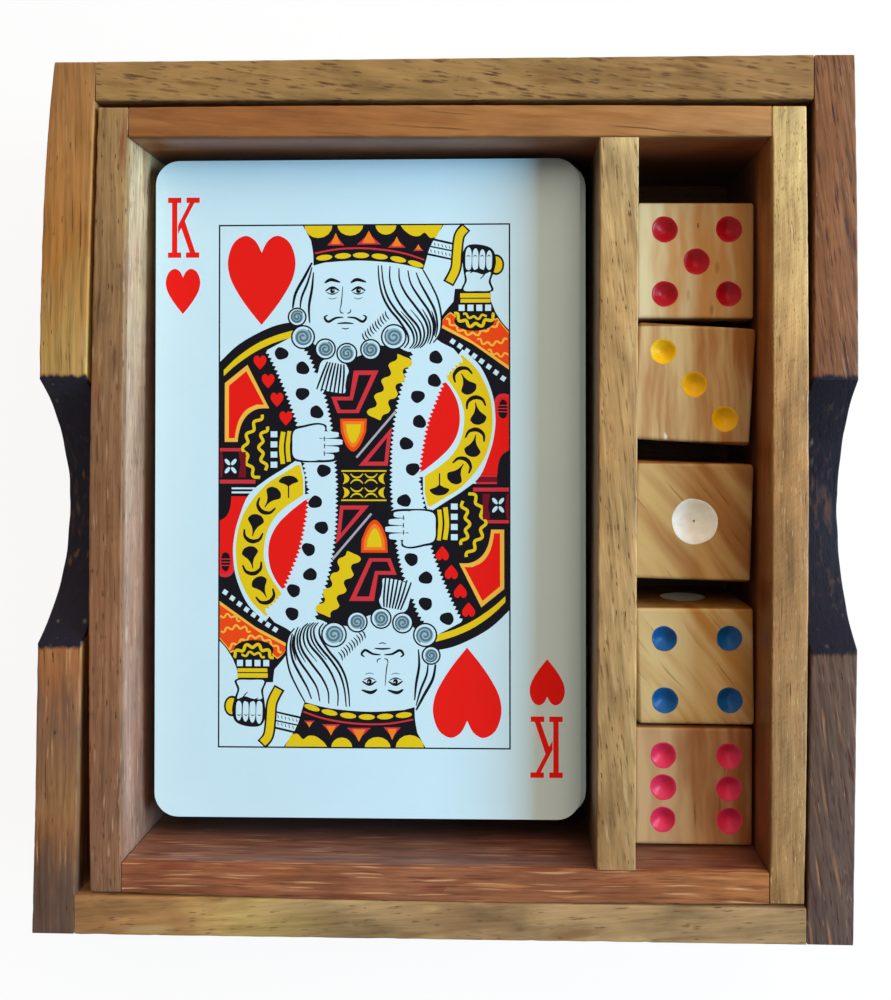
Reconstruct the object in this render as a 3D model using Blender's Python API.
"""Wooden card and dice box.

An open outer box with a finger notch sawn in each long side holds a lift-out tray. The tray has a wide
well for a deck of playing cards and a narrow well for five drilled wooden dice. X runs across the box,
Y along it and Z up. The origin is the middle of the underside.
"""

import math

import bmesh
import bpy
from mathutils import Matrix, Vector

MM = 0.001

# What the box is made to hold
CARD_WIDTH = 57.0 * MM
CARD_LENGTH = 88.0 * MM
CARD_THICKNESS = 0.285 * MM
CARD_AIR = 0.02 * MM
CARD_CORNER_RADIUS = 3.2 * MM
CARD_CORNER_STEPS = 5
DIE_EDGE = 15.7 * MM

# Cards in the deck: the lowest ones lie as one packet, and the uppermost ones have slid to the left
CARD_COUNT = 54
PACKET_COUNT = 11
SLID_COUNT = 6

# Glue lines and the room round the contents and the moving tray
GLUE_LINE = 0.1 * MM
SEAT_GAP = 0.3 * MM
CARD_SIDE_CLEARANCE = 3.35 * MM
CARD_END_CLEARANCE = 4.6 * MM
DIE_SIDE_CLEARANCE = 1.05 * MM
TRAY_SIDE_CLEARANCE = 1.25 * MM
TRAY_END_CLEARANCE = 1.24 * MM
ROOM_ABOVE_DICE = 6.6 * MM

# Tray woodwork
TRAY_LEFT_WALL = 4.0 * MM
TRAY_RIGHT_WALL = 4.3 * MM
TRAY_FAR_WALL = 3.9 * MM
TRAY_NEAR_WALL = 3.85 * MM
TRAY_DIVIDER = 4.95 * MM
TRAY_BASE = 3.0 * MM
TRAY_REBATE = 1.8 * MM

# Box woodwork: hand-sawn walls, each with its thickness at its near or left end and at its other end
BOX_LEFT_WALL = (5.45 * MM, 5.45 * MM)
BOX_RIGHT_WALL = (5.8 * MM, 5.1 * MM)
BOX_NEAR_WALL = (4.95 * MM, 4.55 * MM)
BOX_FAR_WALL = (5.1 * MM, 5.7 * MM)
BOX_BASE = 4.1 * MM
BOX_REBATE = 2.5 * MM

# How far the left wall's near end splays out, and the share of the tray's clearance that the right
# wall's near end takes up
LEFT_WALL_SPLAY = 1.6 * MM
RIGHT_WALL_PINCH_SHARE = 0.48

# Rounding of the boards' free edges
ARRIS = 0.35 * MM
ARRIS_STEPS = 2

# Finger notches, arcs of a circle, a little nearer the end that faces the player
NOTCH_WIDTH = 33.9 * MM
LEFT_NOTCH_DEPTH = 7.2 * MM
RIGHT_NOTCH_DEPTH = 6.3 * MM
NOTCH_SHIFT = -1.9 * MM
NOTCH_STEPS = 96

# Dice: rounded arrises and drilled pips
DIE_ROUNDING = 0.6 * MM
DIE_ROUNDING_STEPS = 2
PIP_DIAMETER = 3.3 * MM
PIP_DEPTH = 0.9 * MM
PIP_SPACING = 8.7 * MM
SIX_PIP_SPACING = 4.35 * MM
ONE_PIP_DIAMETER = 6.0 * MM
ONE_PIP_DEPTH = 0.8 * MM
PIP_SIDES = 14
PIP_OVERRUN = 0.2 * MM

# Gaps between the dice, counted from the near end of their well
DIE_GAPS = (0.2 * MM, 0.2 * MM, 3.62 * MM, 2.69 * MM, 0.79 * MM)

# How far the cutters run past the wood
OVERRUN = 2.0 * MM

# Where the loose pieces lie and how far they turn, as shares of the side or end room that they have
TRAY_SIDE_SHARE = -0.24
TRAY_END_SHARE = -0.13
DECK_SIDE_SHARE = 0.21
SLID_SIDE_SHARE = -0.033
DECK_END_SHARE = 0.26
DECK_TURN_SHARE = 0.18
WOBBLE_SHARE = 0.03
WOBBLE_TURN_SHARE = 0.055
WOBBLE_STEP = 2.4

# Each die, from the near end: the number on top and the number that faces the far end
DICE = (("six", "two"), ("four", "one"), ("one", "five"), ("three", "two"), ("five", "three"))

# Where each die lies across the well and how far it turns, as shares of its side clearance
DIE_SIDE_SHARES = (0.18, 0.31, 0.04, 0.07, 0.15)
DIE_TURN_SHARES = (0.0, 0.22, -0.42, -0.82, 0.0)

# Wood and card colours as (red, green, blue, roughness)
FINISHES = {
    "golden_wood": (0.42, 0.21, 0.075, 0.5),
    "tan_wood": (0.40, 0.25, 0.115, 0.55),
    "brown_wood": (0.27, 0.135, 0.07, 0.5),
    "red_wood": (0.34, 0.135, 0.055, 0.5),
    "pale_wood": (0.58, 0.40, 0.19, 0.55),
    "dark_wood": (0.15, 0.085, 0.06, 0.55),
    "die_wood": (0.70, 0.50, 0.28, 0.6),
    "card_stock": (0.86, 0.88, 0.88, 0.3),
}

# Sizes worked out from the driving ones
DICE_ROW = sum(DIE_GAPS) + len(DICE) * DIE_EDGE + SEAT_GAP
WELL_LENGTH = max(CARD_LENGTH + CARD_END_CLEARANCE, DICE_ROW)
CARD_WELL_WIDTH = CARD_WIDTH + CARD_SIDE_CLEARANCE
DICE_WELL_WIDTH = DIE_EDGE + DIE_SIDE_CLEARANCE
TRAY_INSIDE = CARD_WELL_WIDTH + TRAY_DIVIDER + DICE_WELL_WIDTH
TRAY_WIDTH = TRAY_LEFT_WALL + TRAY_INSIDE + TRAY_RIGHT_WALL
TRAY_LENGTH = TRAY_NEAR_WALL + WELL_LENGTH + TRAY_FAR_WALL
TRAY_HEIGHT = TRAY_BASE + SEAT_GAP + DIE_EDGE + ROOM_ABOVE_DICE
BOX_INSIDE = TRAY_WIDTH + TRAY_SIDE_CLEARANCE
BOX_INSIDE_LENGTH = TRAY_LENGTH + TRAY_END_CLEARANCE
BOX_HEIGHT = BOX_BASE + SEAT_GAP + TRAY_HEIGHT
RIGHT_WALL_PINCH = RIGHT_WALL_PINCH_SHARE * TRAY_SIDE_CLEARANCE

# Middles of the wells, from the middle of the tray's inside
CARD_WELL_X = (CARD_WELL_WIDTH - TRAY_INSIDE) / 2
DIVIDER_X = CARD_WELL_WIDTH + (TRAY_DIVIDER - TRAY_INSIDE) / 2
DICE_WELL_X = (TRAY_INSIDE - DICE_WELL_WIDTH) / 2

# Where the tray's inside lies in the box's inside
TRAY_X = TRAY_SIDE_SHARE * TRAY_SIDE_CLEARANCE + (TRAY_LEFT_WALL - TRAY_RIGHT_WALL) / 2
TRAY_Y = TRAY_END_SHARE * TRAY_END_CLEARANCE + (TRAY_NEAR_WALL - TRAY_FAR_WALL) / 2
TRAY_Z = BOX_BASE + SEAT_GAP


def clear_scene():
    for obj in list(bpy.data.objects):
        bpy.data.objects.remove(obj, do_unlink=True)


def material(name):
    """The Principled material of one finish, made once."""
    found = bpy.data.materials.get(name)
    if found:
        return found
    red, green, blue, roughness = FINISHES[name]
    made = bpy.data.materials.new(name)
    made.use_nodes = True
    shader = made.node_tree.nodes["Principled BSDF"]
    shader.inputs["Base Color"].default_value = (red, green, blue, 1)
    shader.inputs["Roughness"].default_value = roughness
    shader.inputs["Metallic"].default_value = 0
    return made


def carrier(name, parent, place):
    """An empty that carries the pieces of one body, so that they move together."""
    empty = bpy.data.objects.new(name, None)
    empty.parent = parent
    empty.location = place
    bpy.context.scene.collection.objects.link(empty)
    return empty


def piece(name, bm, finish, parent, place=(0, 0, 0), turn=None):
    """One solid of the box, from a bmesh that this call uses up."""
    mesh = bpy.data.meshes.new(name)
    bmesh.ops.recalc_face_normals(bm, faces=bm.faces)
    bm.to_mesh(mesh)
    bm.free()
    obj = bpy.data.objects.new(name, mesh)
    obj.data.materials.append(material(finish))
    obj.parent = parent
    obj.location = place
    if turn is not None:
        obj.rotation_mode = "QUATERNION"
        obj.rotation_quaternion = turn
    bpy.context.scene.collection.objects.link(obj)
    return obj


def cut(obj, name, cutter_bm):
    """Takes the closed shapes of a bmesh out of a piece, by a Boolean that stays on it."""
    mesh = bpy.data.meshes.new(f"{obj.name}_{name}")
    bmesh.ops.recalc_face_normals(cutter_bm, faces=cutter_bm.faces)
    cutter_bm.to_mesh(mesh)
    cutter_bm.free()
    cutter = bpy.data.objects.new(f"{obj.name}_{name}", mesh)
    cutter.hide_render = True
    cutter.display_type = "WIRE"
    cutter.parent = obj
    bpy.context.scene.collection.objects.link(cutter)
    boolean = obj.modifiers.new(name, "BOOLEAN")
    boolean.operation = "DIFFERENCE"
    boolean.solver = "EXACT"
    boolean.object = cutter


def board(outline, low, high):
    """A bmesh of a flat outline, given in plan, extruded from one height to another."""
    bm = bmesh.new()
    face = bm.faces.new([bm.verts.new((x, y, low)) for x, y in outline])
    raised = bmesh.ops.extrude_face_region(bm, geom=[face])
    moved = [v for v in raised["geom"] if isinstance(v, bmesh.types.BMVert)]
    bmesh.ops.translate(bm, verts=moved, vec=(0, 0, high - low))
    return bm


def soften(bm, along=None):
    """Rounds a board's edges: all of them, or only those along X (0) or Y (1) if others hold its ends."""
    edges = []
    for edge in bm.edges:
        run = [abs(length) for length in edge.verts[1].co - edge.verts[0].co]
        if along is None or run[along] == max(run):
            edges.append(edge)
    bmesh.ops.bevel(bm, geom=edges, offset=ARRIS, segments=ARRIS_STEPS, profile=0.5, affect="EDGES")


def between(ends, share):
    """The value at a share of the way from the first of two ends to the second."""
    return ends[0] + (ends[1] - ends[0]) * share


class Frame:
    """Four butt-jointed walls and a rebated base, seen in plan round the middle of their inside.

    left and right are the side faces' X at the near and the far end of the inside. Each wall is its
    thickness at its near or left end and at its other end. The side walls run past the end walls.
    """

    def __init__(self, length, left, right, left_wall, right_wall, near_wall, far_wall):
        self.half = length / 2
        self.faces = {-1: left, 1: right}
        self.sides = {-1: left_wall, 1: right_wall}
        self.ends = {-1: near_wall, 1: far_wall}

    def along(self, y):
        """How far y is along the inside, from 0 at the near end to 1 at the far end."""
        return (y + self.half) / (2 * self.half)

    def face_x(self, side, y):
        return between(self.faces[side], self.along(y))

    def end_y(self, end, side):
        """The outer face of an end wall where it meets a side wall."""
        return end * (self.half + self.ends[end][0 if side < 0 else 1])

    def side_outline(self, side):
        near, far = self.end_y(-1, side), self.end_y(1, side)
        inner = [(self.face_x(side, y), y) for y in (near, far)]
        outer = [(self.face_x(side, y) + side * between(self.sides[side], self.along(y)), y)
                 for y in (far, near)]
        return inner + outer

    def end_outline(self, end):
        inner, left, right = end * self.half, self.end_y(end, -1), self.end_y(end, 1)
        return [
            (self.face_x(-1, inner) + GLUE_LINE, inner),
            (self.face_x(-1, left) + GLUE_LINE, left),
            (self.face_x(1, right) - GLUE_LINE, right),
            (self.face_x(1, inner) - GLUE_LINE, inner),
        ]

    def middle(self):
        """The middle of the rectangle that just holds the walls."""
        corners = self.side_outline(-1) + self.side_outline(1)
        xs, ys = zip(*corners)
        return (min(xs) + max(xs)) / 2, (min(ys) + max(ys)) / 2

    def base_outline(self, reach):
        """The inside, let into the walls by reach all round."""
        y = self.half + reach
        return [(self.face_x(side, end * y) + side * reach, end * y)
                for side, end in ((-1, -1), (1, -1), (1, 1), (-1, 1))]


def make_frame(prefix, parent, frame, height, rebate, base, finishes):
    """The walls of a frame, softened and rebated, round its base board."""
    made = {}
    for side, name in ((-1, "left_side"), (1, "right_side")):
        bm = board(frame.side_outline(side), 0, height)
        soften(bm)
        made[name] = piece(f"{prefix}_{name}", bm, finishes[name], parent)
    for end, name in ((-1, "near_end"), (1, "far_end")):
        bm = board(frame.end_outline(end), 0, height)
        soften(bm, along=0)
        made[name] = piece(f"{prefix}_{name}", bm, finishes[name], parent)
    for wall in made.values():
        cut(wall, "rebate", board(frame.base_outline(rebate), -OVERRUN, base + GLUE_LINE))
    base_bm = board(frame.base_outline(rebate - GLUE_LINE), 0, base)
    piece(f"{prefix}_base", base_bm, finishes["base"], parent)
    return made


def box_frame():
    """The box's walls in plan. The left wall splays out, and the right one thickens towards the tray."""
    half = BOX_INSIDE / 2
    return Frame(
        BOX_INSIDE_LENGTH,
        (-half - LEFT_WALL_SPLAY, -half),
        (half - RIGHT_WALL_PINCH, half),
        BOX_LEFT_WALL,
        BOX_RIGHT_WALL,
        BOX_NEAR_WALL,
        BOX_FAR_WALL,
    )


def tray_frame():
    """The tray's walls in plan, square and even."""
    half = TRAY_INSIDE / 2
    return Frame(
        WELL_LENGTH,
        (-half, -half),
        (half, half),
        (TRAY_LEFT_WALL, TRAY_LEFT_WALL),
        (TRAY_RIGHT_WALL, TRAY_RIGHT_WALL),
        (TRAY_NEAR_WALL, TRAY_NEAR_WALL),
        (TRAY_FAR_WALL, TRAY_FAR_WALL),
    )


def notch_cutter(x, y, depth):
    """A round bar through a side wall, whose underside sweeps out a finger notch of this depth."""
    half = NOTCH_WIDTH / 2
    radius = (half**2 + depth**2) / (2 * depth)
    bm = bmesh.new()
    bmesh.ops.create_cone(
        bm, cap_ends=True, segments=NOTCH_STEPS, radius1=radius, radius2=radius, depth=BOX_INSIDE
    )
    half_step = Matrix.Rotation(math.pi / NOTCH_STEPS, 4, "Z")
    along_x = Matrix.Rotation(math.pi / 2, 4, "Y")
    place = Matrix.Translation((x, y, BOX_HEIGHT - depth + radius))
    bmesh.ops.transform(bm, matrix=place @ along_x @ half_step, verts=bm.verts)
    return bm


def make_box(parent, frame):
    """The outer box: four walls round a base board, with a notch in each side."""
    finishes = {
        "left_side": "golden_wood",
        "right_side": "brown_wood",
        "far_end": "tan_wood",
        "near_end": "tan_wood",
        "base": "dark_wood",
    }
    made = make_frame("box", parent, frame, BOX_HEIGHT, BOX_REBATE, BOX_BASE, finishes)
    notch_y = frame.middle()[1] + NOTCH_SHIFT
    cut(made["left_side"], "notch", notch_cutter(-BOX_INSIDE / 2, notch_y, LEFT_NOTCH_DEPTH))
    cut(made["right_side"], "notch", notch_cutter(BOX_INSIDE / 2, notch_y, RIGHT_NOTCH_DEPTH))


def make_tray(parent):
    """The lift-out tray: four walls, a base board and the divider between the two wells."""
    finishes = {
        "left_side": "brown_wood",
        "right_side": "pale_wood",
        "far_end": "golden_wood",
        "near_end": "red_wood",
        "base": "dark_wood",
    }
    make_frame("tray", parent, tray_frame(), TRAY_HEIGHT, TRAY_REBATE, TRAY_BASE, finishes)
    x, y = TRAY_DIVIDER / 2, WELL_LENGTH / 2 - GLUE_LINE
    divider = board([(x, -y), (x, y), (-x, y), (-x, -y)], TRAY_BASE + GLUE_LINE, TRAY_HEIGHT)
    soften(divider, along=1)
    piece("tray_divider", divider, "pale_wood", parent, (DIVIDER_X, 0, 0))


def card_outline():
    """A card's outline with its four rounded corners, anticlockwise."""
    points = []
    inset_x = CARD_WIDTH / 2 - CARD_CORNER_RADIUS
    inset_y = CARD_LENGTH / 2 - CARD_CORNER_RADIUS
    for quarter, (side, end) in enumerate(((1, 1), (-1, 1), (-1, -1), (1, -1))):
        for step in range(CARD_CORNER_STEPS + 1):
            angle = (quarter + step / CARD_CORNER_STEPS) * math.pi / 2
            x = side * inset_x + CARD_CORNER_RADIUS * math.cos(angle)
            y = end * inset_y + CARD_CORNER_RADIUS * math.sin(angle)
            points.append((x, y))
    return points


def card_place(index):
    """Where card number index lies in the tray, counted from 1 at the bottom, and its turn."""
    share = SLID_SIDE_SHARE if index > CARD_COUNT - SLID_COUNT else DECK_SIDE_SHARE
    loose = index < CARD_COUNT
    wobble = WOBBLE_SHARE * CARD_SIDE_CLEARANCE * loose
    phase = WOBBLE_STEP * index
    x = CARD_WELL_X + share * CARD_SIDE_CLEARANCE + wobble * math.sin(phase)
    y = DECK_END_SHARE * (WELL_LENGTH - CARD_LENGTH) + wobble * math.cos(phase)
    z = TRAY_BASE + SEAT_GAP + (index - 1) * (CARD_THICKNESS + CARD_AIR)
    turn_share = DECK_TURN_SHARE + WOBBLE_TURN_SHARE * math.cos(phase) * loose
    return (x, y, z), turn_share * CARD_SIDE_CLEARANCE / CARD_LENGTH


def card(name, parent, index, thickness):
    """One card, or a packet of cards if it is thicker, lying flat."""
    place, turn = card_place(index)
    flat_turn = Matrix.Rotation(turn, 3, "Z").to_quaternion()
    piece(name, board(card_outline(), 0, thickness), "card_stock", parent, place, flat_turn)


def make_deck(deck, top_card):
    """The deck from the bottom up: a packet, the single cards above it and the king on top."""
    packet = PACKET_COUNT * CARD_THICKNESS + (PACKET_COUNT - 1) * CARD_AIR
    card("card_packet_lowest", deck, 1, packet)
    for index in range(PACKET_COUNT + 1, CARD_COUNT):
        card(f"card_{index:02d}", deck, index, CARD_THICKNESS)
    card("king_card", top_card, CARD_COUNT, CARD_THICKNESS)


# A die's faces: the way that each number faces and the way that its columns of pips run
DIE_FACES = {
    "one": (Vector((0, 0, 1)), Vector((1, 0, 0))),
    "six": (Vector((0, 0, -1)), Vector((0, 1, 0))),
    "two": (Vector((0, 1, 0)), Vector((0, 0, 1))),
    "five": (Vector((0, -1, 0)), Vector((0, 0, 1))),
    "three": (Vector((1, 0, 0)), Vector((0, 1, 0))),
    "four": (Vector((-1, 0, 0)), Vector((0, 1, 0))),
}


def pip_places():
    """Where the pips of each number lie on its face, from the face's middle."""
    reach = PIP_SPACING / 2
    middle = [(0, 0)]
    falling = [(-reach, reach), (reach, -reach)]
    rising = [(-reach, -reach), (reach, reach)]
    rows = [(side * reach, row * SIX_PIP_SPACING) for side in (-1, 1) for row in (-1, 0, 1)]
    return {
        "one": middle,
        "two": falling,
        "three": falling + middle,
        "four": falling + rising,
        "five": falling + rising + middle,
        "six": rows,
    }


def pip_cutter():
    """Every drill point of one die: cones that open outwards through its six faces."""
    bm = bmesh.new()
    places = pip_places()
    for number, (out, along) in DIE_FACES.items():
        across = along.cross(out)
        frame = Matrix((across, along, out)).transposed().to_4x4()
        diameter = ONE_PIP_DIAMETER if number == "one" else PIP_DIAMETER
        depth = ONE_PIP_DEPTH if number == "one" else PIP_DEPTH
        full_depth = depth + PIP_OVERRUN
        for x, y in places[number]:
            middle = Vector((x, y, DIE_EDGE / 2 - depth + full_depth / 2))
            bmesh.ops.create_cone(
                bm,
                cap_ends=True,
                segments=PIP_SIDES,
                radius1=0,
                radius2=diameter / 2 * full_depth / depth,
                depth=full_depth,
                matrix=frame @ Matrix.Translation(middle),
            )
    return bm


def die_turn(top, far):
    """The turn that brings one number to the top of a die and another to its far side."""
    up, ahead = DIE_FACES[top][0], DIE_FACES[far][0]
    right = ahead.cross(up)
    return Matrix((right, ahead, up)).to_quaternion()


def make_die(name, parent, top, far, turn):
    """One die: a cube with rounded arrises and drilled pips."""
    bm = bmesh.new()
    bmesh.ops.create_cube(bm, size=DIE_EDGE)
    bmesh.ops.bevel(
        bm,
        geom=bm.edges,
        offset=DIE_ROUNDING,
        segments=DIE_ROUNDING_STEPS,
        profile=0.5,
        affect="EDGES",
    )
    facing = Matrix.Rotation(turn, 3, "Z").to_quaternion() @ die_turn(top, far)
    die = piece(name, bm, "die_wood", parent, turn=facing)
    cut(die, "pips", pip_cutter())


def make_dice(tray):
    """The five dice, each on its own carrier, laid along the narrow well from its near end."""
    y = -WELL_LENGTH / 2
    z = TRAY_BASE + SEAT_GAP + DIE_EDGE / 2
    for (top, far), side_share, turn_share, gap in zip(DICE, DIE_SIDE_SHARES, DIE_TURN_SHARES, DIE_GAPS):
        name = f"die_showing_{top}"
        y += gap
        x = DICE_WELL_X + side_share * DIE_SIDE_CLEARANCE
        own = carrier(f"{name}_carrier", tray, (x, y + DIE_EDGE / 2, z))
        make_die(name, own, top, far, turn_share * DIE_SIDE_CLEARANCE / DIE_EDGE)
        y += DIE_EDGE


def main():
    clear_scene()
    frame = box_frame()
    middle_x, middle_y = frame.middle()
    box = carrier("box", None, (-middle_x, -middle_y, 0))
    tray = carrier("tray", box, (TRAY_X, TRAY_Y, TRAY_Z))
    deck = carrier("deck", tray, (0, 0, 0))
    top_card = carrier("top_card", deck, (0, 0, 0))
    make_box(box, frame)
    make_tray(tray)
    make_deck(deck, top_card)
    make_dice(tray)


main()
